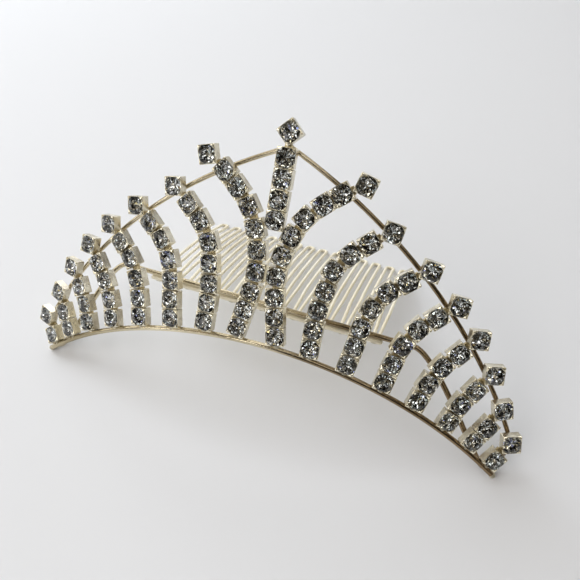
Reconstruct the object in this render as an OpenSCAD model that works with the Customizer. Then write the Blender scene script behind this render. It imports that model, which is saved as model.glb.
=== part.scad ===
// Mini tiara: rows of round stones in square cups rise from an arched base wire
// to a pointed rim wire. The base wire runs back at its ends into a straight bar
// that carries a comb of hairpin teeth. The tiara leans back and rests on the two
// ends of the base wire and on the tips of the comb.
// Lengths are in mm and angles in degrees. +Z is up, -Y is the side seen in wear.

/* [Front] */
// Radius of the front, seen from above
front_radius = 140; // [110:5:180]
// Lean of the front back from upright
front_lean = 37; // [30:1:42]
// Radius of the base wire's arch, measured along the front
arch_radius = 74.5; // [70:0.5:80]
// Half of the base wire's span, measured along the front
half_span = 44.6; // [44:0.2:46]
// Height of the rim's point above the base wire's top
rim_height = 33; // [31:0.5:34]
// Radius of each half of the rim
rim_radius = 100; // [90:5:130]

/* [Stones and cups] */
// Side of a square cup
cup_side = 3.1; // [3:0.05:3.15]
// Free gap from one cup to the next
cup_gap = 0.2; // [0.15:0.05:0.3]
// Depth of a cup behind the stone's widest line
cup_depth = 1.55; // [1.55:0.05:1.9]
// Height of the claws in front of the stone's widest line
claw_height = 0.5; // [0.3:0.05:0.6]
// Width of a stone
stone_width = 3; // [2.8:0.05:3]
// Height of the centre strand's lowest stone above the base wire's top
centre_start = 21.4; // [21.4:0.1:22]
// Stones in the centre strand
centre_count = 5; // [3:1:5]

/* [Wires] */
// Diameter of the base wire, the legs and the back bar
wire_width = 1; // [0.8:0.1:1]
// Diameter of the rim wire
rim_width = 0.8; // [0.6:0.1:0.8]

/* [Comb] */
// Number of hairpin teeth
tooth_count = 15; // [9:2:17]
// Distance from one tooth to the next
tooth_pitch = 3.08; // [2.9:0.02:3.2]
// Length of a tooth along its bow
tooth_length = 31.4; // [26:0.2:32]
// Diameter of the tooth wire
tooth_width = 0.55; // [0.4:0.05:0.6]
// Distance between a hairpin's two legs
leg_spacing = 1.55; // [1.4:0.05:2.2]
// Bend of a tooth from root to tip
tooth_bend = 15; // [5:1:25]
// Turn of the bar and comb about the upright, as the photographed one is bent
comb_turn = -2.2; // [-3:0.1:3]
// Sideways shift of the bar and comb
comb_shift = -2.7; // [-3:0.1:3]
// Half of the bar's straight length
bar_half = 28.4; // [26:0.2:30]
// Height of the bar above the ground
bar_height = 13.9; // [13:0.1:15]
// Distance of the bar behind the ends of the base wire
bar_distance = 13.8; // [12:0.2:16]

/* [Hidden] */
// What each row of STRANDS holds, for the strands of one side from the centre out
FOOT = 0;
LEANS = 1;
STRANDS = [
  // place of the foot along the base wire, then the lean of each link from foot to tip
  [3.35, [-11, -10, -6, 6, 16, 26, 43, 50, 60]],
  [9.5, [-1, 2, 9, 11, 34, 48, 54]],
  [16, [9, 7, 15, 32, 50, 54]],
  [22.5, [11, 15, 29, 46, 51]],
  [28.6, [16, 25, 39, 42]],
  [34.4, [20, 31, 38]],
  [39.3, [31, 28]],
  [43.8, [33]],
];
LEFT = -1;
RIGHT = 1;
GOLD = [0.86, 0.77, 0.56];
CRYSTAL = [0.86, 0.89, 0.93];
gap = 0.05;
overlap = 0.2;
half_cup = cup_side / 2;
wire_radius = wire_width / 2;
tooth_radius = tooth_width / 2;
// Each wire's distance behind the stones' widest line
wire_behind = 1;
rim_behind = cup_depth + gap + rim_width / 2;

// Cup and stone
floor_thickness = 0.2;
pocket_radius = 0.46 * stone_width;
claw_circle = stone_width / 2 + 0.07;
pocket_sides = 48;
wall_behind_girdle = 0.2;
claw_window = cup_side - 1.2;
link_width = 1;
link_inset = 0.03;
link_thickness = 0.14;
facets = 8;
table_radius = 0.3 * stone_width;
crown_height = 0.15 * stone_width;
girdle_half = 0.03;
pavilion_depth = 0.43 * stone_width;

// Wires
wire_sides = 8;
rim_sides = 8;
tooth_sides = 6;
base_steps = 36;
rim_steps = 16;
rim_turn_steps = 4;
leg_steps = 12;
rim_end = [half_span + 1.7, -8];
rim_foot_behind = 0.6;
bar_pull = 4.4;
leg_inset = 2;
leg_foot_out = 0.3;
leg_foot_down = 2.2;
leg_foot_behind = 3;
end_radius = 0.62;
pad_radius = 0.55;
pad_thickness = 0.15;

// Comb
spine_radius = 0.5;
spine_overhang = 1;
spine_angle = 110;
root_drop = 0.25;
root_spacing = 1;
root_share = 0.3;
bow_steps = 6;
tip_steps = 5;

// Places on the front, before it leans back: u runs along it, v up it, out towards -Y
function turn_at(u) = u / front_radius * 180 / PI;
function on_front(u, v, out) =
  [
    (front_radius + out) * sin(turn_at(u)),
    front_radius - (front_radius + out) * cos(turn_at(u)),
    v
  ];
function lean_back(p) =
  [
    p.x,
    p.y * cos(front_lean) + p.z * sin(front_lean),
    p.z * cos(front_lean) - p.y * sin(front_lean)
  ];
function arch_height(u, radius) = sqrt(radius * radius - u * u) - arch_radius;

// The seat moves the leaned front so that it stands on the ground, centred
end_height = arch_height(half_span, arch_radius);
wire_end_leaned = lean_back(on_front(half_span, end_height, -wire_behind));
// The teeth slope so that their tips reach the ground too
bend_radians = tooth_bend * PI / 180;
tooth_rise = bar_height - (wire_radius + spine_radius + gap) * sin(spine_angle) - root_drop;
function root_slope_for(rise) =
  asin(rise * bend_radians / (2 * tooth_length * sin(tooth_bend / 2))) - tooth_bend / 2;
tip_slope = root_slope_for(tooth_rise) + tooth_bend;
root_slope = root_slope_for(tooth_rise - tooth_radius * cos(tip_slope));
tooth_reach = tooth_length / bend_radians
  * (sin(root_slope + tooth_bend) - sin(root_slope));
comb_half = tooth_pitch * (tooth_count - 1) / 2 + leg_spacing / 2;
bar_behind_end = bar_distance + (wire_radius + spine_radius + gap) * cos(spine_angle);
rear_reach = bar_behind_end + tooth_reach + comb_half * abs(sin(comb_turn))
  + tooth_radius;
front_reach = end_radius * cos(180 / wire_sides);
end_rest = front_reach;
seat = [
  0,
  (front_reach - rear_reach) / 2 - wire_end_leaned.y,
  end_rest - wire_end_leaned.z
];
function seated(p) = lean_back(p) + seat;

wire_end_right = seated(on_front(half_span, end_height, -wire_behind));
wire_end_left = [-wire_end_right.x, wire_end_right.y, wire_end_right.z];
bar_centre = [comb_shift, wire_end_right.y + bar_distance, bar_height];
function bar_point(x) = bar_centre + x * [cos(comb_turn), sin(comb_turn), 0];

// Strands
function mean(a, b) = (a + b) / 2;
function last_cup(leans) = len(leans);
function cup_lean(leans, i) =
  i == 0 ? leans[0]
  : i == last_cup(leans) ? leans[i - 1]
  : i == last_cup(leans) - 1 ? leans[i - 1]
  : mean(leans[i - 1], leans[i]);
// A cup turned by d from the next one needs room for its corner, the tip cup for its diagonal
function link_length(leans, i) =
  let (d = abs(cup_lean(leans, i + 1) - cup_lean(leans, i)) / 2)
  i == last_cup(leans) - 1 ? half_cup * (1 + sqrt(2)) + cup_gap
  : cup_side * (cos(d) + sin(d)) + cup_gap;
// The foot stands off the wire by the reach of the cup's lowest corner
function foot_radius(foot, lean) =
  let (off = abs(lean - asin(foot / arch_radius)))
  arch_radius + wire_radius + gap + half_cup * (cos(off) + sin(off));
function cup_place(foot, leans, i) =
  i == 0 ? [foot, arch_height(foot, foot_radius(foot, leans[0]))]
  : cup_place(foot, leans, i - 1)
    + link_length(leans, i - 1) * [sin(leans[i - 1]), cos(leans[i - 1])];
centre_pitch = cup_side + cup_gap;
centre_leans = [for (i = [2 : centre_count]) 0];
function centre_place(i) =
  i == 0 ? [0, centre_start]
  : centre_place(i - 1) + [0, link_length(centre_leans, i - 1)];

module lean() {
  translate(seat) rotate([-front_lean, 0, 0]) children();
}

module place_on_front(place, turn) {
  translate(on_front(place.x, place.y, 0))
    rotate([0, 0, turn_at(place.x)])
      rotate([0, turn, 0])
        children();
}

// A square cup with a round pocket and four claws, its front towards -Y. The stone's
// widest line lies in front of the walls, among the claws
module cup() {
  front = claw_height;
  difference() {
    translate([-half_cup, -front, -half_cup])
      cube([cup_side, front + cup_depth, cup_side]);
    translate([0, cup_depth - floor_thickness, 0])
      rotate([90, 0, 0])
        cylinder(r = pocket_radius, h = cup_depth + 2 * front, $fn = pocket_sides);
    translate([0, wall_behind_girdle, 0])
      rotate([90, 0, 0])
        cylinder(r = claw_circle, h = cup_depth, $fn = pocket_sides);
    translate([-claw_window / 2, -2 * front, -cup_side])
      cube([claw_window, 2 * front + wall_behind_girdle, 2 * cup_side]);
    translate([-cup_side, -2 * front, -claw_window / 2])
      cube([2 * cup_side, 2 * front + wall_behind_girdle, claw_window]);
  }
}

// A strip in the cups' floors that joins one cup to the next
module link(length) {
  translate([-link_width / 2, cup_depth - link_inset - link_thickness, -length / 2])
    cube([link_width, link_thickness, length]);
}

// A round cut stone: table, crown, girdle and pavilion, the table towards -Y
function ring_points(radius, y, shift) =
  [
    for (i = [0 : facets - 1])
      let (a = (i + shift) * 360 / facets)
      [radius * cos(a), y, radius * sin(a)]
  ];
module stone() {
  wide = stone_width / 2;
  points = concat(
    ring_points(table_radius, -girdle_half - crown_height, 0),
    ring_points(wide, -girdle_half, 0.5),
    ring_points(wide, girdle_half, 0.5),
    [[0, girdle_half + pavilion_depth, 0]]
  );
  table = [[for (i = [facets - 1 : -1 : 0]) i]];
  crown_up = [for (i = [0 : facets - 1]) [facets + i, i, (i + 1) % facets]];
  crown_down = [
    for (i = [0 : facets - 1])
      let (j = (i + 1) % facets)
      [facets + j, facets + i, j]
  ];
  girdle = [
    for (i = [0 : facets - 1])
      let (j = (i + 1) % facets)
      [facets + j, 2 * facets + j, 2 * facets + i, facets + i]
  ];
  pavilion = [
    for (i = [0 : facets - 1])
      [2 * facets + (i + 1) % facets, 3 * facets, 2 * facets + i]
  ];
  polyhedron(points, concat(table, crown_up, crown_down, girdle, pavilion));
}

module strand_cups(row, side) {
  leans = STRANDS[row][LEANS];
  foot = STRANDS[row][FOOT];
  last = last_cup(leans);
  lean() {
    for (i = [0 : last]) {
      p = cup_place(foot, leans, i);
      place_on_front([side * p.x, p.y], side * (cup_lean(leans, i) + (i == last ? 45 : 0)))
        cup();
    }
    for (i = [0 : last - 1]) {
      middle = mean(cup_place(foot, leans, i), cup_place(foot, leans, i + 1));
      place_on_front([side * middle.x, middle.y], side * leans[i])
        link(link_length(leans, i));
    }
  }
}

module strand_stones(row, side) {
  leans = STRANDS[row][LEANS];
  foot = STRANDS[row][FOOT];
  lean()
    for (i = [0 : last_cup(leans)]) {
      p = cup_place(foot, leans, i);
      place_on_front([side * p.x, p.y], side * cup_lean(leans, i))
        stone();
    }
}

module centre_cups() {
  last = centre_count - 1;
  lean() {
    for (i = [0 : last])
      place_on_front(centre_place(i), i == last ? 45 : 0)
        cup();
    for (i = [0 : last - 1])
      place_on_front(mean(centre_place(i), centre_place(i + 1)), 0)
        link(link_length(centre_leans, i));
  }
}

module centre_stones() {
  lean()
    for (i = [0 : centre_count - 1])
      place_on_front(centre_place(i), 0)
        stone();
}

// Sweeps: a round wire along a path of points, each section square to the path
function unit(p) = p / norm(p);
function path_tangent(path, i) =
  unit(path[min(i + 1, len(path) - 1)] - path[max(i - 1, 0)]);
function section(path, i, radius, sides, side_hint) =
  let (
    t = path_tangent(path, i),
    a = unit(cross(t, side_hint)),
    b = cross(t, a)
  )
  [
    for (k = [0 : sides - 1])
      let (w = (k + 0.5) * 360 / sides)
      path[i] + radius * (cos(w) * a + sin(w) * b)
  ];
module wire(path, radius, sides, side_hint) {
  n = len(path);
  points = [for (i = [0 : n - 1]) each section(path, i, radius, sides, side_hint)];
  skin = [
    for (i = [0 : n - 2], k = [0 : sides - 1])
      let (next = (k + 1) % sides)
      [i * sides + k, (i + 1) * sides + k, (i + 1) * sides + next, i * sides + next]
  ];
  start = [for (k = [0 : sides - 1]) k];
  end = [for (k = [sides - 1 : -1 : 0]) (n - 1) * sides + k];
  polyhedron(points, concat([start], skin, [end]));
}

function bezier(a, b, c, d, t) =
  pow(1 - t, 3) * a + 3 * t * pow(1 - t, 2) * b + 3 * t * t * (1 - t) * c + pow(t, 3) * d;

base_path = [
  for (i = [0 : base_steps])
    let (u = half_span * (2 * i / base_steps - 1))
    seated(on_front(u, arch_height(u, arch_radius), -wire_behind))
];

// One half of the rim: an arc from the point to rim_end, then a turn down to the wire's end
rim_start = [0, rim_height];
rim_chord = rim_end - rim_start;
rim_middle = mean(rim_start, rim_end);
rim_normal = unit([rim_chord.y, -rim_chord.x]);
rim_centre = rim_middle
  + rim_normal * sqrt(pow(rim_radius, 2) - pow(norm(rim_chord) / 2, 2));
rim_from = atan2(rim_start.y - rim_centre.y, rim_start.x - rim_centre.x);
rim_to = atan2(rim_end.y - rim_centre.y, rim_end.x - rim_centre.x);
function rim_path(side) =
  let (
    foot = side == RIGHT ? wire_end_right : wire_end_left,
    arc = [
      for (i = [0 : rim_steps])
        let (w = rim_from + (rim_to - rim_from) * i / rim_steps)
        let (p = rim_centre + rim_radius * [cos(w), sin(w)])
        seated(on_front(side * p.x, p.y, -rim_behind))
    ],
    last = arc[rim_steps],
    onward = last + (last - arc[rim_steps - 1]) / 2,
    behind = seated(on_front(side * half_span, end_height, -rim_behind - rim_foot_behind))
  )
  concat(
    arc,
    [
      for (i = [1 : rim_turn_steps])
        bezier(last, onward, behind, foot, i / rim_turn_steps)
    ]
  );

// The legs and the bar: each leg leaves the base wire near its end and passes behind the cups
leg_span = half_span - leg_inset;
leg_height = arch_height(leg_span, arch_radius);
function leg_path(side) =
  let (
    foot = seated(on_front(side * leg_span, leg_height, -wire_behind)),
    behind = seated(
      on_front(
        side * (leg_span + leg_foot_out),
        leg_height - leg_foot_down,
        -wire_behind - leg_foot_behind
      )
    ),
    corner = bar_point(side * bar_half),
    along = unit(corner - bar_centre)
  )
  [
    for (i = [0 : leg_steps])
      bezier(foot, behind, corner + bar_pull * along, corner, i / leg_steps)
  ];
function backwards(path) = [for (i = [len(path) - 1 : -1 : 0]) path[i]];
back_path = concat(leg_path(RIGHT), backwards(leg_path(LEFT)));

// A bead of solder between the base wire and a strand's lowest cup
module solder_bead(foot, lean, side) {
  v = arch_height(foot, foot_radius(foot, lean));
  lean()
    place_on_front([side * foot, v], side * lean)
      translate([0, wire_behind, -half_cup - gap])
        hull() {
          translate([0, 0, -pad_thickness])
            cylinder(r = pad_radius, h = pad_thickness, $fn = wire_sides);
          translate([0, 0, -wire_radius - gap])
            cylinder(r = wire_radius, h = pad_thickness, $fn = wire_sides);
        }
}

module end_lump(place) {
  translate(place)
    sphere(r = end_radius, $fn = wire_sides);
}

module wire_frame() {
  upward = [0, -sin(front_lean), cos(front_lean)];
  color(GOLD)
    union() {
      wire(base_path, wire_radius, wire_sides, [0, 1, 0]);
      wire(back_path, wire_radius, wire_sides, upward);
      for (side = [LEFT, RIGHT])
        wire(rim_path(side), rim_width / 2, rim_sides, [0, 1, 0]);
      translate(rim_path(RIGHT)[0])
        sphere(r = rim_width / 2, $fn = rim_sides);
      for (place = [wire_end_left, wire_end_right])
        end_lump(place);
      for (strand = STRANDS, side = [LEFT, RIGHT])
        solder_bead(strand[FOOT], strand[LEANS][0], side);
    }
}

// Comb
spine_offset = (wire_radius + spine_radius + gap)
  * [0, cos(spine_angle), -sin(spine_angle)];

function bow_point(s) =
  let (slope = root_slope + tooth_bend * s)
  tooth_length / bend_radians
    * [0, sin(slope) - sin(root_slope), cos(slope) - cos(root_slope)];
function tooth_path() =
  let (
    round_share = 1 - leg_spacing / 2 / tooth_length,
    leg = concat(
      [[-root_spacing / 2, 0]],
      [
        for (i = [0 : bow_steps])
          [-leg_spacing / 2, root_share + (round_share - root_share) * i / bow_steps]
      ]
    ),
    tip = [
      for (i = [1 : tip_steps - 1])
        let (w = 180 * i / tip_steps)
        [-leg_spacing / 2 * cos(w), round_share + (1 - round_share) * sin(w)]
    ],
    other = [for (i = [len(leg) - 1 : -1 : 0]) [-leg[i].x, leg[i].y]]
  )
  [for (p = concat(leg, tip, other)) bow_point(p.y) + [p.x, 0, 0]];

module comb() {
  half_length = comb_half + spine_overhang - leg_spacing / 2;
  color(GOLD)
    translate(bar_centre)
      rotate([0, 0, comb_turn])
        translate(spine_offset)
          union() {
            rotate([0, 90, 0])
              cylinder(r = spine_radius, h = 2 * half_length, center = true, $fn = wire_sides);
            for (i = [0 : tooth_count - 1])
              translate([(i - (tooth_count - 1) / 2) * tooth_pitch, 0, 0]) {
                translate([0, 0, -root_drop])
                  wire(tooth_path(), tooth_radius, tooth_sides, [0, 0.3, 1]);
                hull() {
                  translate([-root_spacing / 2, 0, -root_drop])
                    sphere(r = tooth_width, $fn = tooth_sides);
                  translate([root_spacing / 2, 0, -root_drop])
                    sphere(r = tooth_width, $fn = tooth_sides);
                }
              }
          }
}

// Nodes
module strand_centre() {
  color(GOLD) centre_cups();
}
module stones_centre() {
  color(CRYSTAL) centre_stones();
}
module strand_left_1() {
  color(GOLD) strand_cups(0, LEFT);
}
module stones_left_1() {
  color(CRYSTAL) strand_stones(0, LEFT);
}
module strand_left_2() {
  color(GOLD) strand_cups(1, LEFT);
}
module stones_left_2() {
  color(CRYSTAL) strand_stones(1, LEFT);
}
module strand_left_3() {
  color(GOLD) strand_cups(2, LEFT);
}
module stones_left_3() {
  color(CRYSTAL) strand_stones(2, LEFT);
}
module strand_left_4() {
  color(GOLD) strand_cups(3, LEFT);
}
module stones_left_4() {
  color(CRYSTAL) strand_stones(3, LEFT);
}
module strand_left_5() {
  color(GOLD) strand_cups(4, LEFT);
}
module stones_left_5() {
  color(CRYSTAL) strand_stones(4, LEFT);
}
module strand_left_6() {
  color(GOLD) strand_cups(5, LEFT);
}
module stones_left_6() {
  color(CRYSTAL) strand_stones(5, LEFT);
}
module strand_left_7() {
  color(GOLD) strand_cups(6, LEFT);
}
module stones_left_7() {
  color(CRYSTAL) strand_stones(6, LEFT);
}
module strand_left_8() {
  color(GOLD) strand_cups(7, LEFT);
}
module stones_left_8() {
  color(CRYSTAL) strand_stones(7, LEFT);
}
module strand_right_1() {
  color(GOLD) strand_cups(0, RIGHT);
}
module stones_right_1() {
  color(CRYSTAL) strand_stones(0, RIGHT);
}
module strand_right_2() {
  color(GOLD) strand_cups(1, RIGHT);
}
module stones_right_2() {
  color(CRYSTAL) strand_stones(1, RIGHT);
}
module strand_right_3() {
  color(GOLD) strand_cups(2, RIGHT);
}
module stones_right_3() {
  color(CRYSTAL) strand_stones(2, RIGHT);
}
module strand_right_4() {
  color(GOLD) strand_cups(3, RIGHT);
}
module stones_right_4() {
  color(CRYSTAL) strand_stones(3, RIGHT);
}
module strand_right_5() {
  color(GOLD) strand_cups(4, RIGHT);
}
module stones_right_5() {
  color(CRYSTAL) strand_stones(4, RIGHT);
}
module strand_right_6() {
  color(GOLD) strand_cups(5, RIGHT);
}
module stones_right_6() {
  color(CRYSTAL) strand_stones(5, RIGHT);
}
module strand_right_7() {
  color(GOLD) strand_cups(6, RIGHT);
}
module stones_right_7() {
  color(CRYSTAL) strand_stones(6, RIGHT);
}
module strand_right_8() {
  color(GOLD) strand_cups(7, RIGHT);
}
module stones_right_8() {
  color(CRYSTAL) strand_stones(7, RIGHT);
}

wire_frame();
comb();
strand_centre();
stones_centre();
strand_left_1();
stones_left_1();
strand_left_2();
stones_left_2();
strand_left_3();
stones_left_3();
strand_left_4();
stones_left_4();
strand_left_5();
stones_left_5();
strand_left_6();
stones_left_6();
strand_left_7();
stones_left_7();
strand_left_8();
stones_left_8();
strand_right_1();
stones_right_1();
strand_right_2();
stones_right_2();
strand_right_3();
stones_right_3();
strand_right_4();
stones_right_4();
strand_right_5();
stones_right_5();
strand_right_6();
stones_right_6();
strand_right_7();
stones_right_7();
strand_right_8();
stones_right_8();
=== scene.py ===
import math
import random

import bpy
from mathutils import Matrix, Vector


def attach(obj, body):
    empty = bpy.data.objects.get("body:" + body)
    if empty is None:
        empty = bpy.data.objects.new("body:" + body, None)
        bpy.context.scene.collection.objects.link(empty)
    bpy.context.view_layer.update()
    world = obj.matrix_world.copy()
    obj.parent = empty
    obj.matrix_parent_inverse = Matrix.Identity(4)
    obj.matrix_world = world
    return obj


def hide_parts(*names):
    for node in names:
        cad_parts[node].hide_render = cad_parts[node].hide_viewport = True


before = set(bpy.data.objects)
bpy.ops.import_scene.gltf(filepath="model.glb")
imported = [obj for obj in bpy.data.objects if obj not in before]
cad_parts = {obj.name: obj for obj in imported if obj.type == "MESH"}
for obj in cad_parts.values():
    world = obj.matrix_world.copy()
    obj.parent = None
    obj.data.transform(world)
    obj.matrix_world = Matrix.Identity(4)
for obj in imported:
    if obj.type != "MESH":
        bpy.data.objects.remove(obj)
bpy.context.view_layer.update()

MM = 0.001
LEFT, RIGHT = -1, 1

# ---------------------------------------------------------------- camera
IMAGE_SIDE = 580
SENSOR_WIDTH = 36.0
FOCAL_PIXELS = 602.0
CAMERA_PLACE = Vector((24.93, -70.3, 101.46)) * MM
CAMERA_FORWARD = Vector((-0.20998, 0.59525, -0.77562)).normalized()
CAMERA_RIGHT = Vector((0.94975, 0.31252, -0.01727))


def make_camera():
    right = (CAMERA_RIGHT - CAMERA_FORWARD * CAMERA_RIGHT.dot(CAMERA_FORWARD)).normalized()
    up = right.cross(CAMERA_FORWARD)
    data = bpy.data.cameras.new("camera")
    data.sensor_width = SENSOR_WIDTH
    data.lens = FOCAL_PIXELS / IMAGE_SIDE * SENSOR_WIDTH
    data.clip_start = 0.005
    camera = bpy.data.objects.new("camera", data)
    camera.matrix_world = Matrix((
        (right.x, up.x, -CAMERA_FORWARD.x, CAMERA_PLACE.x),
        (right.y, up.y, -CAMERA_FORWARD.y, CAMERA_PLACE.y),
        (right.z, up.z, -CAMERA_FORWARD.z, CAMERA_PLACE.z),
        (0, 0, 0, 1),
    ))
    bpy.context.scene.collection.objects.link(camera)
    bpy.context.scene.camera = camera


make_camera()

# ---------------------------------------------------------------- sizes, in mm
# as in the part's source, but for the two that say otherwise
FRONT_RADIUS = 140.0
FRONT_LEAN = math.radians(37)
ARCH_RADIUS = 74.5
HALF_SPAN = 44.6
RIM_HEIGHT = 33.0
RIM_RADIUS = 100.0
CUP_SIDE = 3.1
HALF_CUP = CUP_SIDE / 2
# from the middle of a cup to that of a tip cup, which stands on its corner, with no gap
TIP_REACH = HALF_CUP * (1 + math.sqrt(2))
CUP_GAP = 0.2
CUP_DEPTH = 1.55
STONE_WIDTH = 2.98  # 3 in the source
CENTRE_START = 21.4
CENTRE_COUNT = 5
WIRE_RADIUS = 0.5
RIM_WIRE_RADIUS = 0.4
WIRE_BEHIND = 1.0
GAP = 0.05
RIM_BEHIND = CUP_DEPTH + GAP + RIM_WIRE_RADIUS
END_RADIUS = 0.62
SOURCE_WIRE_SIDES = 8
TOOTH_COUNT = 15
TOOTH_PITCH = 3.08
TOOTH_LENGTH = 31.4
TOOTH_RADIUS = 0.33  # 0.275 in the source: thicker here to match the photo's tones
LEG_SPACING = 1.55
TOOTH_BEND = math.radians(15)
COMB_TURN = math.radians(-2.2)
COMB_SHIFT = -2.7
BAR_HALF = 28.4
BAR_HEIGHT = 13.9
BAR_DISTANCE = 13.8
SPINE_RADIUS = 0.5
SPINE_ANGLE = math.radians(110)
SPINE_DISTANCE = WIRE_RADIUS + SPINE_RADIUS + GAP
ROOT_DROP = 0.25
ROOT_SPACING = 1.0
ROOT_SHARE = 0.3

# foot: place along the base wire; leans: of each link from foot to tip, in degrees
STRANDS = [
    {"foot": 3.35, "leans": [-11, -10, -6, 6, 16, 26, 43, 50, 60]},
    {"foot": 9.5, "leans": [-1, 2, 9, 11, 34, 48, 54]},
    {"foot": 16.0, "leans": [9, 7, 15, 32, 50, 54]},
    {"foot": 22.5, "leans": [11, 15, 29, 46, 51]},
    {"foot": 28.6, "leans": [16, 25, 39, 42]},
    {"foot": 34.4, "leans": [20, 31, 38]},
    {"foot": 39.3, "leans": [31, 28]},
    {"foot": 43.8, "leans": [33]},
]


# ---------------------------------------------------------------- places, as in the part's source
def on_front(u, v, out):
    turn = u / FRONT_RADIUS
    reach = FRONT_RADIUS + out
    return Vector((reach * math.sin(turn), FRONT_RADIUS - reach * math.cos(turn), v))


def lean_back(p):
    c, s = math.cos(FRONT_LEAN), math.sin(FRONT_LEAN)
    return Vector((p.x, p.y * c + p.z * s, p.z * c - p.y * s))


def arch_height(u, radius):
    return math.sqrt(radius * radius - u * u) - ARCH_RADIUS


def slope_at_root():
    """The slope of a tooth at its root, so that its tip rests on the ground."""
    rise = BAR_HEIGHT - SPINE_DISTANCE * math.sin(SPINE_ANGLE) - ROOT_DROP

    def root(fall):
        ratio = fall * TOOTH_BEND / (2 * TOOTH_LENGTH * math.sin(TOOTH_BEND / 2))
        return math.asin(ratio) - TOOTH_BEND / 2

    tip = root(rise) + TOOTH_BEND
    return root(rise - TOOTH_RADIUS * math.cos(tip))


ROOT_SLOPE = slope_at_root()
END_LEANED = lean_back(on_front(HALF_SPAN, arch_height(HALF_SPAN, ARCH_RADIUS), -WIRE_BEHIND))
END_REST = END_RADIUS * math.cos(math.radians(180 / SOURCE_WIRE_SIDES))
COMB_HALF = TOOTH_PITCH * (TOOTH_COUNT - 1) / 2 + LEG_SPACING / 2
REAR_REACH = (
    BAR_DISTANCE + SPINE_DISTANCE * math.cos(SPINE_ANGLE)
    + TOOTH_LENGTH / TOOTH_BEND * (math.sin(ROOT_SLOPE + TOOTH_BEND) - math.sin(ROOT_SLOPE))
    + COMB_HALF * abs(math.sin(COMB_TURN)) + TOOTH_RADIUS
)
SEAT = Vector((0, (END_REST - REAR_REACH) / 2 - END_LEANED.y, END_REST - END_LEANED.z))


def seated(p):
    return lean_back(p) + SEAT


WIRE_END = {
    RIGHT: END_LEANED + SEAT,
    LEFT: Vector((-END_LEANED.x, END_LEANED.y, END_LEANED.z)) + SEAT,
}
BAR_CENTRE = Vector((COMB_SHIFT, WIRE_END[RIGHT].y + BAR_DISTANCE, BAR_HEIGHT))
BAR_ALONG = Vector((math.cos(COMB_TURN), math.sin(COMB_TURN), 0))


def front_matrix(u, v, turn):
    """Places a cup: its front towards -Y, its chain along Z, turned by turn degrees."""
    return (
        Matrix.Translation(SEAT)
        @ Matrix.Rotation(-FRONT_LEAN, 4, "X")
        @ Matrix.Translation(on_front(u, v, 0))
        @ Matrix.Rotation(u / FRONT_RADIUS, 4, "Z")
        @ Matrix.Rotation(math.radians(turn), 4, "Y")
    )


def strand_cups(foot, leans):
    """The cups of one strand on the right: place along and up the front, and lean."""
    last = len(leans)
    turns = []
    for i in range(last + 1):
        if i == 0:
            turns.append(leans[0])
        elif i >= last - 1:
            turns.append(leans[i - 1])
        else:
            turns.append((leans[i - 1] + leans[i]) / 2)
    off = math.radians(abs(leans[0] - math.degrees(math.asin(foot / ARCH_RADIUS))))
    radius = ARCH_RADIUS + WIRE_RADIUS + GAP + HALF_CUP * (math.cos(off) + math.sin(off))
    u, v = foot, arch_height(foot, radius)
    cups = [(u, v, turns[0])]
    for i in range(last):
        half = math.radians(abs(turns[i + 1] - turns[i]) / 2)
        step = CUP_SIDE * (math.cos(half) + math.sin(half)) + CUP_GAP
        if i == last - 1:
            step = TIP_REACH + CUP_GAP
        lean = math.radians(leans[i])
        u += step * math.sin(lean)
        v += step * math.cos(lean)
        cups.append((u, v, turns[i + 1]))
    return cups


def centre_cups():
    cups = [(0, CENTRE_START + i * (CUP_SIDE + CUP_GAP), 0) for i in range(CENTRE_COUNT - 1)]
    return cups + [(0, cups[-1][1] + (TIP_REACH + CUP_GAP), 0)]


def bezier(a, b, c, d, t):
    s = 1 - t
    return a * s**3 + b * 3 * t * s * s + c * 3 * t * t * s + d * t**3


# ---------------------------------------------------------------- mesh helpers
def add_object(name, points, faces, materials, face_materials=None, smooth=False):
    mesh = bpy.data.meshes.new(name)
    mesh.from_pydata([tuple(p * MM) for p in points], [], faces)
    for material in materials:
        mesh.materials.append(material)
    if face_materials:
        for polygon, index in zip(mesh.polygons, face_materials):
            polygon.material_index = index
    for polygon in mesh.polygons:
        polygon.use_smooth = smooth
    mesh.update()
    obj = bpy.data.objects.new(name, mesh)
    bpy.context.scene.collection.objects.link(obj)
    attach(obj, "root")
    return obj


# of the rings that round off the end of a wire, in degrees, from its tip on
CAP_ANGLES = (75, 50, 25)


def rounded_end(end, way):
    """Ever wider rings from the tip of a wire; way is 1 at its far end and -1 at its near end."""
    p, t, a, b, r = end
    rings = []
    for w in map(math.radians, CAP_ANGLES):
        rings.append((p + t * r * math.sin(w) * way, t, a, b, r * math.cos(w)))
    return rings


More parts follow.
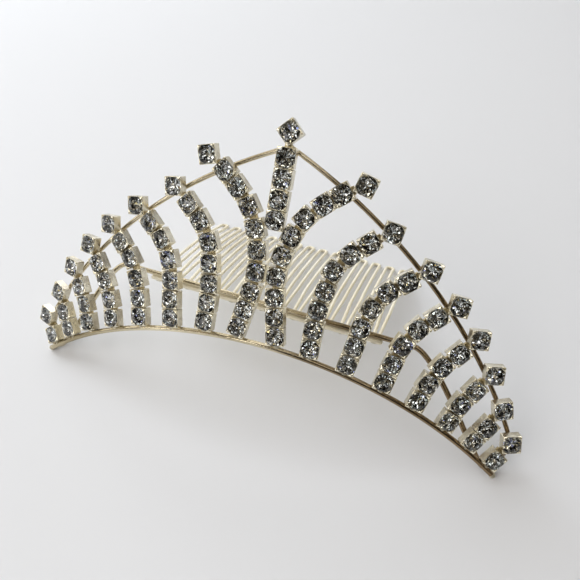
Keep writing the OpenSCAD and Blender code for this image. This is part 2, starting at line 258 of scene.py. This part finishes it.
class Shape:
    """Gathers points and faces of one piece before it becomes an object."""

    def __init__(self):
        self.points = []
        self.faces = []
        self.kinds = []

    def add(self, points, faces, kind, matrix=None):
        start = len(self.points)
        self.points += [matrix @ p for p in points] if matrix else points
        self.faces += [tuple(i + start for i in face) for face in faces]
        self.kinds += [kind] * len(faces) if isinstance(kind, int) else kind

    def tube(self, path, radius, sides, hint):
        """A round wire with rounded ends, along a path that never runs along hint."""
        rings = []
        count = len(path)
        for i, p in enumerate(path):
            t = (path[min(i + 1, count - 1)] - path[max(i - 1, 0)]).normalized()
            a = t.cross(hint).normalized()
            b = t.cross(a)
            r = radius(i / (count - 1)) if callable(radius) else radius
            rings.append((p, t, a, b, r))
        rings = rounded_end(rings[0], -1) + rings + rounded_end(rings[-1], 1)[::-1]
        points = []
        for p, t, a, b, r in rings:
            for k in range(sides):
                w = 2 * math.pi * k / sides
                points.append(p + a * (r * math.cos(w)) + b * (r * math.sin(w)))
        faces = []
        for i in range(len(rings) - 1):
            here, there = i * sides, (i + 1) * sides
            for k in range(sides):
                n = (k + 1) % sides
                faces.append((here + k, here + n, there + n, there + k))
        faces.append(tuple(range(sides - 1, -1, -1)))
        faces.append(tuple(range((len(rings) - 1) * sides, len(rings) * sides)))
        self.add(points, faces, WIRE)

    def blob(self, place, size, rng, kind, rings=6, sides=10):
        """A bead of solder: a slightly uneven ball, size along X, Y and Z."""
        points = [place + Vector((0, 0, -size[2]))]
        for i in range(1, rings):
            w = math.pi * i / rings
            for k in range(sides):
                h = 2 * math.pi * k / sides
                wobble = rng.uniform(0.9, 1.06)
                points.append(place + Vector((
                    size[0] * math.sin(w) * math.cos(h) * wobble,
                    size[1] * math.sin(w) * math.sin(h) * wobble,
                    -size[2] * math.cos(w),
                )))
        points.append(place + Vector((0, 0, size[2])))
        top = len(points) - 1
        faces = [(0, 1 + (k + 1) % sides, 1 + k) for k in range(sides)]
        for i in range(rings - 2):
            for k in range(sides):
                a = 1 + i * sides + k
                b = 1 + i * sides + (k + 1) % sides
                faces.append((a, b, b + sides, a + sides))
        base = 1 + (rings - 2) * sides
        faces += [(base + k, base + (k + 1) % sides, top) for k in range(sides)]
        self.add(points, faces, kind)


# ---------------------------------------------------------------- materials
def new_material(name):
    material = bpy.data.materials.new(name)
    material.use_nodes = True
    nodes = material.node_tree.nodes
    return material, nodes, material.node_tree.links, nodes["Principled BSDF"]


def blended(nodes, links, a, b, way="MULTIPLY"):
    blend = nodes.new("ShaderNodeMix")
    blend.data_type = "RGBA"
    blend.blend_type = way
    blend.inputs["Factor"].default_value = 1
    links.new(a, blend.inputs["A"])
    links.new(b, blend.inputs["B"])
    return blend.outputs["Result"]


def toned(nodes, links, value, stops):
    """A tone for each value from 0 to 1, blended between stops of a value and its tone."""
    ramp = nodes.new("ShaderNodeValToRGB")
    elements = ramp.color_ramp.elements
    elements.remove(elements[1])
    for i, (position, tone) in enumerate(stops):
        stop = elements[0] if i == 0 else elements.new(position)
        stop.position = position
        stop.color = (tone, tone, tone, 1) if isinstance(tone, (int, float)) else (*tone, 1)
    links.new(value, ramp.inputs["Fac"])
    return ramp.outputs["Color"]


def noise(nodes, links, coords, scale, detail):
    clouds = nodes.new("ShaderNodeTexNoise")
    clouds.inputs["Scale"].default_value = scale
    clouds.inputs["Detail"].default_value = detail
    links.new(coords.outputs["Object"], clouds.inputs["Vector"])
    return clouds.outputs["Fac"]


def painted_shade_along_x(nodes, links, coords, stops):
    """A painted shade that goes along X with the piece, from its left end to its right end."""
    split = nodes.new("ShaderNodeSeparateXYZ")
    links.new(coords.outputs["Object"], split.inputs["Vector"])
    along = nodes.new("ShaderNodeMapRange")
    along.inputs["From Min"].default_value = -HALF_SPAN * MM
    along.inputs["From Max"].default_value = HALF_SPAN * MM
    links.new(split.outputs["X"], along.inputs["Value"])
    return toned(nodes, links, along.outputs["Result"], stops)


def gold_material(name, tones, roughness, scale, metallic=0.8, painted_shade=None):
    """Pale gold plate: tone and roughness drift a little, with fine scratches in the bump, and a
    painted shade along X where one is given.
    """
    material, nodes, links, shader = new_material(name)
    coords = nodes.new("ShaderNodeTexCoord")
    drift = noise(nodes, links, coords, scale, 4)
    colour = toned(nodes, links, drift, zip((0.3, 0.7), tones))
    # the painted shade darkens the tone towards the right end
    if painted_shade:
        colour = blended(nodes, links, colour, painted_shade_along_x(nodes, links, coords, painted_shade))
    links.new(colour, shader.inputs["Base Color"])
    spread = nodes.new("ShaderNodeMapRange")
    spread.inputs["To Min"].default_value = roughness[0]
    spread.inputs["To Max"].default_value = roughness[1]
    links.new(drift, spread.inputs["Value"])
    links.new(spread.outputs["Result"], shader.inputs["Roughness"])
    bump = nodes.new("ShaderNodeBump")
    bump.inputs["Strength"].default_value = 0.15
    bump.inputs["Distance"].default_value = 0.0001
    links.new(noise(nodes, links, coords, 1500, 3), bump.inputs["Height"])
    links.new(bump.outputs["Normal"], shader.inputs["Normal"])
    shader.inputs["Metallic"].default_value = metallic
    return material


# painted shade: darker and browner from the middle of the tiara to its right end
RIGHT_PAINTED_SHADE = ((0.0, 1.0), (0.5, 1.0), (0.6, (0.44, 0.39, 0.34)), (1.0, (0.36, 0.29, 0.23)))
gold_wire = gold_material(
    "gold_wire", ((0.38, 0.32, 0.20), (0.90, 0.80, 0.58)), (0.08, 0.18), 80, 0.95, RIGHT_PAINTED_SHADE
)
gold_cups = gold_material(
    "gold_cups", ((0.46, 0.41, 0.31), (0.91, 0.86, 0.71)), (0.2, 0.34), 420, 0.9
)
comb_wire = gold_material(
    "comb_wire", ((0.86, 0.78, 0.58), (1.0, 0.95, 0.80)), (0.45, 0.6), 120, 0.25
)
gold_links = gold_material(
    "gold_links", ((0.46, 0.37, 0.19), (0.70, 0.59, 0.36)), (0.2, 0.34), 500
)
# paler, smoother gold for the cups' rims and claws: a painted highlight where their edges catch
# the light
gold_painted_highlight = gold_material("gold_painted_highlight", ((0.86, 0.78, 0.56), (1.0, 0.95, 0.78)), (0.08, 0.2), 700)
solder = gold_material("solder", ((0.50, 0.45, 0.34), (0.74, 0.70, 0.58)), (0.3, 0.5), 900)


def crown_material():
    material, _, _, shader = new_material("crystal")
    shader.inputs["Base Color"].default_value = (0.97, 0.98, 1, 1)
    shader.inputs["Roughness"].default_value = 0
    shader.inputs["IOR"].default_value = 1.52
    shader.inputs["Specular IOR Level"].default_value = 0.15
    shader.inputs["Transmission Weight"].default_value = 1
    return material


def foil_material(name, tones, roughness):
    """The silvered back of the stones, its tone clouded a little; each copy is painted a tone of
    shade, glint or colour flash.
    """
    material, nodes, links, shader = new_material(name)
    coords = nodes.new("ShaderNodeTexCoord")
    clouds = noise(nodes, links, coords, 900, 1)
    links.new(toned(nodes, links, clouds, zip((0.35, 0.65), tones)), shader.inputs["Base Color"])
    shader.inputs["Metallic"].default_value = 1
    shader.inputs["Roughness"].default_value = roughness
    return material


# what a facet of a stone is made of, as an index into STONE_MATERIALS: the glass crown, or the
# foil painted in tones from shade to glint, a few with painted blue or amber flashes
CROWN, DARK, GREY, WARM, BRIGHT, BLUE, AMBER = range(7)
STONE_MATERIALS = [
    crown_material(),
    foil_material("foil_dark", ((0.20, 0.22, 0.22), (0.42, 0.44, 0.42)), 0.05),
    foil_material("foil_grey", ((0.56, 0.60, 0.60), (0.84, 0.87, 0.84)), 0.06),
    foil_material("foil_warm", ((0.66, 0.60, 0.46), (0.92, 0.86, 0.70)), 0.06),
    foil_material("foil_bright", ((0.96, 0.97, 0.97), (1.0, 1.0, 0.97)), 0.04),
    foil_material("foil_blue", ((0.30, 0.34, 0.70), (0.55, 0.60, 0.95)), 0.08),
    foil_material("foil_amber", ((0.85, 0.62, 0.22), (1.0, 0.85, 0.45)), 0.08),
]

# ---------------------------------------------------------------- cups
# what a face of a strand is made of, as an index into its piece's materials; the rim bands and
# claws carry a painted highlight
WALL, LINK, HIGHLIT_RIM = range(3)
# the bands between levels of a cup, its rim and claws, that get the paler gold of a painted
# highlight
HIGHLIT_RIM_LEVELS = range(3, 7)
# where a claw begins along a side and how soon it is full, as shares of half a side
CLAW_START = 0.66
CLAW_FADE = 0.16
# half the side of a cup as it is drawn, a little over the source's HALF_CUP
SHOWN_HALF = 1.6
CORNER_ROUND = 0.14
CORNER_STEPS = 3
SIDE_STEPS = 4


def square_ring(half, corner):
    """Points round a square with rounded corners."""
    ring = []
    flat = half - corner
    for quarter in range(4):
        turn = Matrix.Rotation(quarter * math.pi / 2, 2)
        for k in range(SIDE_STEPS):
            x = -flat + 2 * flat * k / SIDE_STEPS
            ring.append(turn @ Vector((x, -half)))
        for k in range(CORNER_STEPS):
            w = math.pi / 2 * k / CORNER_STEPS
            x, y = flat + corner * math.sin(w), -flat - corner * math.cos(w)
            ring.append(turn @ Vector((x, y)))
    return ring


def cup_template():
    square = square_ring(SHOWN_HALF, CORNER_ROUND)
    share = []
    for p in square:
        # 1 at the corners, 0 along the middle of a side
        reach = min(abs(p.x), abs(p.y)) / SHOWN_HALF
        share.append(max(0.0, min(1.0, (reach - CLAW_START) / CLAW_FADE)))
    # inset from the outer face, then depth behind the girdle, for a wall and for a claw
    levels = [
        ((0.12, 0.12), (CUP_DEPTH, CUP_DEPTH)),
        ((0.0, 0.0), (CUP_DEPTH - 0.1, CUP_DEPTH - 0.1)),
        ((0.0, 0.0), (0.9, 0.6)),
        ((0.0, 0.0), (0.0, 0.0)),
        ((0.0, 0.04), (-0.06, -0.18)),
        ((0.015, 0.14), (-0.09, -0.28)),
        ((0.04, 0.34), (-0.09, -0.3)),
        ((0.055, 0.4), (-0.05, -0.22)),
        ((0.17, 0.24), (0.24, 0.06)),
        ((0.2, 0.24), (1.35, 1.35)),
    ]
    points = []
    for (wall_inset, claw_inset), (wall_depth, claw_depth) in levels:
        for p, s in zip(square, share):
            inset = wall_inset + (claw_inset - wall_inset) * s
            depth = wall_depth + (claw_depth - wall_depth) * s
            q = p * ((SHOWN_HALF - inset) / SHOWN_HALF)
            points.append(Vector((q.x, depth, q.y)))
    n = len(square)
    faces = []
    kinds = []
    for i in range(len(levels) - 1):
        for k in range(n):
            m = (k + 1) % n
            faces.append((i * n + k, i * n + m, (i + 1) * n + m, (i + 1) * n + k))
            # the rim bands, claws included, get the painted highlight
            kinds.append(HIGHLIT_RIM if i in HIGHLIT_RIM_LEVELS else WALL)
    faces.append(tuple(range(n - 1, -1, -1)))
    faces.append(tuple((len(levels) - 1) * n + k for k in range(n)))
    return points, faces, kinds + [WALL, WALL]


def link_template(length):
    """A strap from one cup's wall to the next, with bevelled edges."""
    half_width, near, far, bevel = 0.7, 0.85, 1.45, 0.08
    profile = [
        (-half_width + bevel, near), (half_width - bevel, near), (half_width, near + bevel),
        (half_width, far - bevel), (half_width - bevel, far), (-half_width + bevel, far),
        (-half_width, far - bevel), (-half_width, near + bevel),
    ]
    points = [Vector((x, y, z)) for z in (-length / 2, length / 2) for x, y in profile]
    n = len(profile)
    faces = [(k, (k + 1) % n, n + (k + 1) % n, n + k) for k in range(n)]
    return points, faces + [tuple(range(n - 1, -1, -1)), tuple(range(n, 2 * n))]


def outline(angle):
    """Reach of the stone's edge: round, squared off a little to fill the cup's corners."""
    power = 3.2
    sum_of_powers = abs(math.cos(angle)) ** power + abs(math.sin(angle)) ** power
    return STONE_WIDTH / 2 / sum_of_powers ** (1 / power)


WEDGE_HALF = math.radians(15)
BACK_TURN = 3.0
BACK_SPREAD = 0.08
BACK_DROP = 0.07


def ring(angles, radius, depth):
    """Points round the stone's middle line; radius gives their reach at each angle."""
    return [Vector((radius(w) * math.cos(w), depth, radius(w) * math.sin(w))) for w in angles]


def uneven_ring(rng, angles, radius, depth):
    """A ring of the hand-polished back: each point a little off its place."""
    points = []
    for w in angles:
        turn = w + math.radians(rng.uniform(-BACK_TURN, BACK_TURN))
        reach = radius * rng.uniform(1 - BACK_SPREAD, 1 + BACK_SPREAD)
        y = depth + rng.uniform(-BACK_DROP, BACK_DROP)
        points.append(Vector((reach * math.cos(turn), y, reach * math.sin(turn))))
    return points


def stone_shape(rng):
    """Table, star, bezel and girdle facets in front; a silvered star of uneven wedges behind, its
    facets in painted tones.
    """
    wide = STONE_WIDTH / 2
    girdle, edge_height = 0.04, 0.13
    table, table_height = 0.42 * wide, 0.36
    middle, middle_height = 0.78 * wide, 0.25
    belt, belt_depth = 0.74 * wide, 0.42
    inner, inner_depth = 0.40 * wide, 0.82
    point_depth = 1.22
    edges = []
    for k in range(8):
        centre = math.pi / 4 * k
        edges += [centre - WEDGE_HALF, centre + WEDGE_HALF]
    eighths = [math.pi / 4 * k for k in range(8)]
    between = [w + math.pi / 8 for w in eighths]
    points = (
        ring(between, lambda w: table, -table_height)
        + uneven_ring(rng, eighths, middle, -middle_height)
        + ring(edges, outline, -edge_height)
        + ring(edges, outline, girdle)
        + uneven_ring(rng, edges, belt, belt_depth)
        + uneven_ring(rng, edges, inner, inner_depth)
        + [Vector((0, point_depth, 0))]
    )
    # where each of these rings begins in points
    t, m, g, h, a, b, c = 0, 8, 16, 32, 48, 64, 80
    crown = [tuple(t + k for k in range(8))]
    for k in range(8):
        n = (k + 1) % 8
        before = (k - 1) % 8
        crown.append((t + before, m + k, t + k))
        crown.append((m + k, g + 2 * k, g + 2 * k + 1))
        crown.append((t + k, m + k, g + 2 * k + 1, g + 2 * n, m + n))
    back, tones = [], []
    for k in range(16):
        n = (k + 1) % 16
        crown.append((g + k, h + k, h + n, g + n))
        facets = [(b + k, c, b + n)]
        for near, far in ((h, a), (a, b)):
            facets += [(near + k, far + n, near + n), (near + k, far + k, far + n)]
        for facet in facets:
            back.append(facet)
            tones.append(back_tone(rng, thin=k % 2 == 1))
    return points, crown + back, [CROWN] * len(crown) + tones


# the share of back facets with a painted colour flash, and of these the share that is blue
COLOURED_SHARE = 0.02
BLUE_SHARE = 0.6
# up to which draw, from 0 to 1, a facet of a thin or a wide wedge has each painted tone of shade
# or glint
THIN_TONES = ((0.78, BRIGHT), (0.90, GREY), (1.0, WARM))
WIDE_TONES = ((0.26, DARK), (0.50, GREY), (0.64, WARM), (1.0, BRIGHT))


def back_tone(rng, thin):
    chance = rng.random()
    if chance < COLOURED_SHARE:
        return BLUE if rng.random() < BLUE_SHARE else AMBER
    return next(tone for top, tone in (THIN_TONES if thin else WIDE_TONES) if chance < top)


CUP = cup_template()
SET_JITTER = 3.0
LINK_OVERLAP = 0.3
TIP_LINK_OVERLAP = 0.5
TIP_LINK_SHIFT = -0.32


def make_strand(name, cups, leans, side, seed):
    rng = random.Random(seed)
    metal, stones = Shape(), Shape()
    last = len(cups) - 1
    for i, (u, v, turn) in enumerate(cups):
        tilt = (
            Matrix.Rotation(math.radians(rng.uniform(-SET_JITTER, SET_JITTER)), 4, "X")
            @ Matrix.Rotation(math.radians(rng.uniform(-SET_JITTER, SET_JITTER)), 4, "Z")
        )
        place = front_matrix(side * u, v, side * (turn + (45 if i == last else 0))) @ tilt
        metal.add(*CUP, place)
        stones.add(*stone_shape(rng), place)
    for i in range(last):
        (ua, va, _), (ub, vb, _) = cups[i], cups[i + 1]
        distance = math.hypot(ub - ua, vb - va)
        if i == last - 1:
            reach, shift = distance - TIP_REACH + TIP_LINK_OVERLAP, TIP_LINK_SHIFT
        else:
            reach, shift = distance - CUP_SIDE + LINK_OVERLAP, 0
        lean = math.radians(leans[i])
        mid = ((ua + ub) / 2 + shift * math.sin(lean), (va + vb) / 2 + shift * math.cos(lean))
        at = front_matrix(side * mid[0], mid[1], side * leans[i])
        metal.add(*link_template(reach), LINK, at)
    cups_piece = add_object(
        "cups_" + name, metal.points, metal.faces, [gold_cups, gold_links, gold_painted_highlight], metal.kinds
    )
    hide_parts("strand_" + name)
    stones_piece = add_object(
        "gems_" + name, stones.points, stones.faces, STONE_MATERIALS, stones.kinds
    )
    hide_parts("stones_" + name)


for row, strand in enumerate(STRANDS, 1):
    for side, word in ((LEFT, "left"), (RIGHT, "right")):
        cups = strand_cups(strand["foot"], strand["leans"])
        make_strand("%s_%d" % (word, row), cups, strand["leans"], side, 10 * row + side)
make_strand("centre", centre_cups(), [0] * (CENTRE_COUNT - 1), RIGHT, 5)

# ---------------------------------------------------------------- wire frame
# what a face of the wire pieces is made of, as an index into its piece's materials
WIRE, BEAD = range(2)
BASE_STEPS = 72
RIM_STEPS = 28
TURN_STEPS = 8
LEG_STEPS = 24
RIM_END = (HALF_SPAN + 1.7, -8.0)
RIM_FOOT_BEHIND = 0.6
RIM_OVERSHOOT = 1.95
BAR_PULL = 4.4
LEG_SPAN = HALF_SPAN - 2.0
LEG_FOOT = (0.3, -2.2, -3.0)
WIRE_SIDES = 16
# sizes of the beads of solder along X, Y and Z
END_BEAD = (0.62, 0.6, 0.57)
FOOT_BEAD = (0.75, 0.55, 0.36)
FOOT_BEAD_DROP = 0.28


def rim_path(side):
    start = Vector((0, RIM_HEIGHT))
    end = Vector(RIM_END)
    chord = end - start
    normal = Vector((chord.y, -chord.x)).normalized()
    centre = (start + end) / 2 + normal * math.sqrt(RIM_RADIUS**2 - (chord.length / 2) ** 2)
    first = math.atan2(start.y - centre.y, start.x - centre.x)
    last = math.atan2(end.y - centre.y, end.x - centre.x)
    path = []
    for i in range(RIM_STEPS + 1):
        w = first + (last - first) * i / RIM_STEPS
        u, v = centre.x + RIM_RADIUS * math.cos(w), centre.y + RIM_RADIUS * math.sin(w)
        path.append(seated(on_front(side * u, v, -RIM_BEHIND)))
    onward = path[-1] + (path[-1] - path[-2]).normalized() * RIM_OVERSHOOT
    end_height = arch_height(HALF_SPAN, ARCH_RADIUS)
    behind = seated(on_front(side * HALF_SPAN, end_height, -RIM_BEHIND - RIM_FOOT_BEHIND))
    corner = path[-1]
    for i in range(1, TURN_STEPS + 1):
        path.append(bezier(corner, onward, behind, WIRE_END[side], i / TURN_STEPS))
    return path


def leg_path(side):
    height = arch_height(LEG_SPAN, ARCH_RADIUS)
    foot = seated(on_front(side * LEG_SPAN, height, -WIRE_BEHIND))
    out, down, back = LEG_FOOT
    behind = seated(on_front(side * (LEG_SPAN + out), height + down, -WIRE_BEHIND + back))
    corner = BAR_CENTRE + BAR_ALONG * (side * BAR_HALF)
    pull = corner + BAR_ALONG * (side * BAR_PULL)
    return [bezier(foot, behind, pull, corner, i / LEG_STEPS) for i in range(LEG_STEPS + 1)]


def make_wire_frame():
    rng = random.Random(3)
    shape = Shape()
    upright = Vector((0, 1, 0))
    base = []
    for i in range(BASE_STEPS + 1):
        u = HALF_SPAN * (2 * i / BASE_STEPS - 1)
        base.append(seated(on_front(u, arch_height(u, ARCH_RADIUS), -WIRE_BEHIND)))
    shape.tube(base, WIRE_RADIUS, WIRE_SIDES, upright)
    leaned_up = Vector((0, -math.sin(FRONT_LEAN), math.cos(FRONT_LEAN)))
    back = leg_path(RIGHT) + leg_path(LEFT)[::-1]
    shape.tube(back, WIRE_RADIUS, WIRE_SIDES, leaned_up)
    for side in (LEFT, RIGHT):
        shape.tube(rim_path(side), RIM_WIRE_RADIUS, WIRE_SIDES, upright)
        shape.blob(WIRE_END[side], END_BEAD, rng, BEAD)
        for strand in STRANDS:
            foot, lean = strand["foot"], strand["leans"][0]
            v = strand_cups(foot, strand["leans"])[0][1]
            place = front_matrix(side * foot, v, side * lean)
            joint = place @ Vector((0, WIRE_BEHIND, -HALF_CUP - FOOT_BEAD_DROP))
            shape.blob(joint, FOOT_BEAD, rng, BEAD)
    piece = add_object(
        "frame_wires", shape.points, shape.faces, [gold_wire, solder], shape.kinds, smooth=True
    )
    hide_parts("wire_frame")


make_wire_frame()

# ---------------------------------------------------------------- comb
BOW_STEPS = 12
TIP_STEPS = 10
SPINE_STEPS = 24
SPINE_OVERHANG = 1
TOOTH_SIDES = 8
TOOTH_SWAY = 0.12
# a leg leaves the spine: how far it spreads, at which share of the tooth's length
ROOT_SPREAD = ((0.0, 0.0), (0.02, 0.08), (0.1, 0.16))
# just before it is as wide as the legs' spacing: what is still missing, and the share before it
BEND_INSET = 0.06
BEND_SHARE = 0.04
ROOT_BEAD = (ROOT_SPACING / 2 + 0.42, 0.5, 0.42)


def bow_point(share):
    slope = ROOT_SLOPE + TOOTH_BEND * share
    return Vector((
        0,
        TOOTH_LENGTH / TOOTH_BEND * (math.sin(slope) - math.sin(ROOT_SLOPE)),
        TOOTH_LENGTH / TOOTH_BEND * (math.cos(slope) - math.cos(ROOT_SLOPE)),
    ))


def tooth_path(rng):
    half = LEG_SPACING / 2
    round_share = 1 - half / TOOTH_LENGTH
    leg = [(-ROOT_SPACING / 2 - spread, share) for spread, share in ROOT_SPREAD]
    leg.append((-half + BEND_INSET, ROOT_SHARE - BEND_SHARE))
    for i in range(BOW_STEPS + 1):
        leg.append((-half, ROOT_SHARE + (round_share - ROOT_SHARE) * i / BOW_STEPS))
    tip = []
    for i in range(1, TIP_STEPS):
        w = math.pi * i / TIP_STEPS
        tip.append((-half * math.cos(w), round_share + (1 - round_share) * math.sin(w)))
    other = [(-x, s) for x, s in leg[::-1]]
    sway = rng.uniform(-TOOTH_SWAY, TOOTH_SWAY)
    path = []
    for x, s in leg + tip + other:
        path.append(bow_point(s) + Vector((x + sway * s * s, 0, 0)))
    return path


def make_comb():
    rng = random.Random(8)
    shape = Shape()
    half = TOOTH_PITCH * (TOOTH_COUNT - 1) / 2 + SPINE_OVERHANG
    spine = [Vector((-half + 2 * half * i / SPINE_STEPS, 0, 0)) for i in range(SPINE_STEPS + 1)]
    shape.tube(spine, SPINE_RADIUS, WIRE_SIDES, Vector((0, 0, 1)))
    for i in range(TOOTH_COUNT):
        x = (i - (TOOTH_COUNT - 1) / 2) * TOOTH_PITCH
        root = Vector((x, 0, -ROOT_DROP))
        tooth = [p + root for p in tooth_path(rng)]
        shape.tube(tooth, TOOTH_RADIUS, TOOTH_SIDES, Vector((0, 0.3, 1)))
        shape.blob(root, ROOT_BEAD, rng, BEAD)
    offset = Vector((0, math.cos(SPINE_ANGLE), -math.sin(SPINE_ANGLE))) * SPINE_DISTANCE
    place = Matrix.Translation(BAR_CENTRE) @ Matrix.Rotation(COMB_TURN, 4, "Z")
    place = place @ Matrix.Translation(offset)
    points = [place @ p for p in shape.points]
    piece = add_object(
        "comb_wires", points, shape.faces, [comb_wire, solder], shape.kinds, smooth=True
    )
    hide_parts("comb")


make_comb()

# ---------------------------------------------------------------- floor and light
FLOOR_SIDE = 3.0


def make_floor():
    material, _, _, shader = new_material("paper")
    shader.inputs["Base Color"].default_value = (0.715, 0.72, 0.735, 1)
    shader.inputs["Roughness"].default_value = 0.75
    shader.inputs["Specular IOR Level"].default_value = 0.2
    mesh = bpy.data.meshes.new("floor")
    half = FLOOR_SIDE / 2
    corners = [(-half, -half, 0), (half, -half, 0), (half, half, 0), (-half, half, 0)]
    mesh.from_pydata(corners, [], [(0, 1, 2, 3)])
    mesh.materials.append(material)
    floor = bpy.data.objects.new("floor", mesh)
    bpy.context.scene.collection.objects.link(floor)


def area_light(name, place, target, size, power, colour):
    data = bpy.data.lights.new(name, "AREA")
    data.shape = "RECTANGLE"
    data.size, data.size_y = size
    data.energy = power
    data.color = colour
    light = bpy.data.objects.new(name, data)
    light.location = place
    aim = Vector(target) - Vector(place)
    light.rotation_euler = aim.to_track_quat("-Z", "Y").to_euler()
    # glass and metal see the room in its place
    light.visible_glossy = False
    light.visible_transmission = False
    bpy.context.scene.collection.objects.link(light)


WINDOW_SIDE = Vector((-0.62, 0.42, 0.66)).normalized()
DARK_SIDE = Vector((0.2, -0.5, 0.84)).normalized()
DIM_SIDE = Vector((0.6, -0.7, 0.35)).normalized()
BACKDROP_TONE = (1.45, 1.46, 1.48)


def toward(nodes, links, coords, direction):
    """How far the looked-at part of the room lies towards a direction, 1 at the most."""
    dot = nodes.new("ShaderNodeVectorMath")
    dot.operation = "DOT_PRODUCT"
    dot.inputs[1].default_value = direction
    links.new(coords.outputs["Generated"], dot.inputs[0])
    return dot.outputs["Value"]


def make_world():
    """A room, dark above the front and light to the left and behind, with patches of light."""
    world = bpy.data.worlds.new("room")
    bpy.context.scene.world = world
    world.use_nodes = True
    nodes, links = world.node_tree.nodes, world.node_tree.links
    background = nodes["Background"]
    coords = nodes.new("ShaderNodeTexCoord")

    def facing(direction, stops):
        return toned(nodes, links, toward(nodes, links, coords, direction), stops)

    swell = facing(WINDOW_SIDE, ((0.0, 0.3), (0.4, 0.6), (0.7, 1.0), (1.0, 1.3)))
    shade = facing(DARK_SIDE, (
        (0.0, 1.0), (0.35, (0.86, 0.82, 0.77)), (0.62, (0.42, 0.37, 0.30)),
        (0.85, (0.32, 0.27, 0.21)), (1.0, (0.27, 0.23, 0.18)),
    ))
    dim = facing(DIM_SIDE, ((0.0, 1.0), (0.7, 1.0), (0.84, 0.0), (1.0, 0.0)))
    cells = nodes.new("ShaderNodeTexVoronoi")
    cells.inputs["Scale"].default_value = 6.0
    links.new(coords.outputs["Generated"], cells.inputs["Vector"])
    pick = nodes.new("ShaderNodeSeparateColor")
    links.new(cells.outputs["Color"], pick.inputs["Color"])
    patches = toned(
        nodes, links, pick.outputs["Red"], ((0.0, 0.5), (0.62, 0.7), (0.68, 2.4), (1.0, 3.4))
    )
    glints = toned(
        nodes, links, pick.outputs["Green"], ((0.0, 0.0), (0.87, 0.0), (0.89, 4.5), (1.0, 6.5))
    )
    room = blended(nodes, links, swell, shade)
    room = blended(nodes, links, room, patches)
    room = blended(nodes, links, room, blended(nodes, links, glints, dim), "ADD")
    # seen straight on, past the edge of the floor, the room is a plain pale backdrop
    path = nodes.new("ShaderNodeLightPath")
    backdrop = nodes.new("ShaderNodeMix")
    backdrop.data_type = "RGBA"
    backdrop.inputs["B"].default_value = (*BACKDROP_TONE, 1)
    links.new(path.outputs["Is Camera Ray"], backdrop.inputs["Factor"])
    links.new(room, backdrop.inputs["A"])
    links.new(backdrop.outputs["Result"], background.inputs["Color"])
    background.inputs["Strength"].default_value = 0.5


make_floor()
make_world()
area_light(
    "key", place=(-0.34, 0.22, 0.32), target=(-0.08, 0, 0), size=(0.34, 0.34), power=1.68,
    colour=(0.89, 0.945, 1),
)
area_light(
    "fill", place=(-0.24, -0.34, 0.34), target=(-0.04, -0.06, 0), size=(0.4, 0.36), power=0.95,
    colour=(1, 0.965, 0.93),
)
bpy.context.scene.view_settings.view_transform = "Standard"
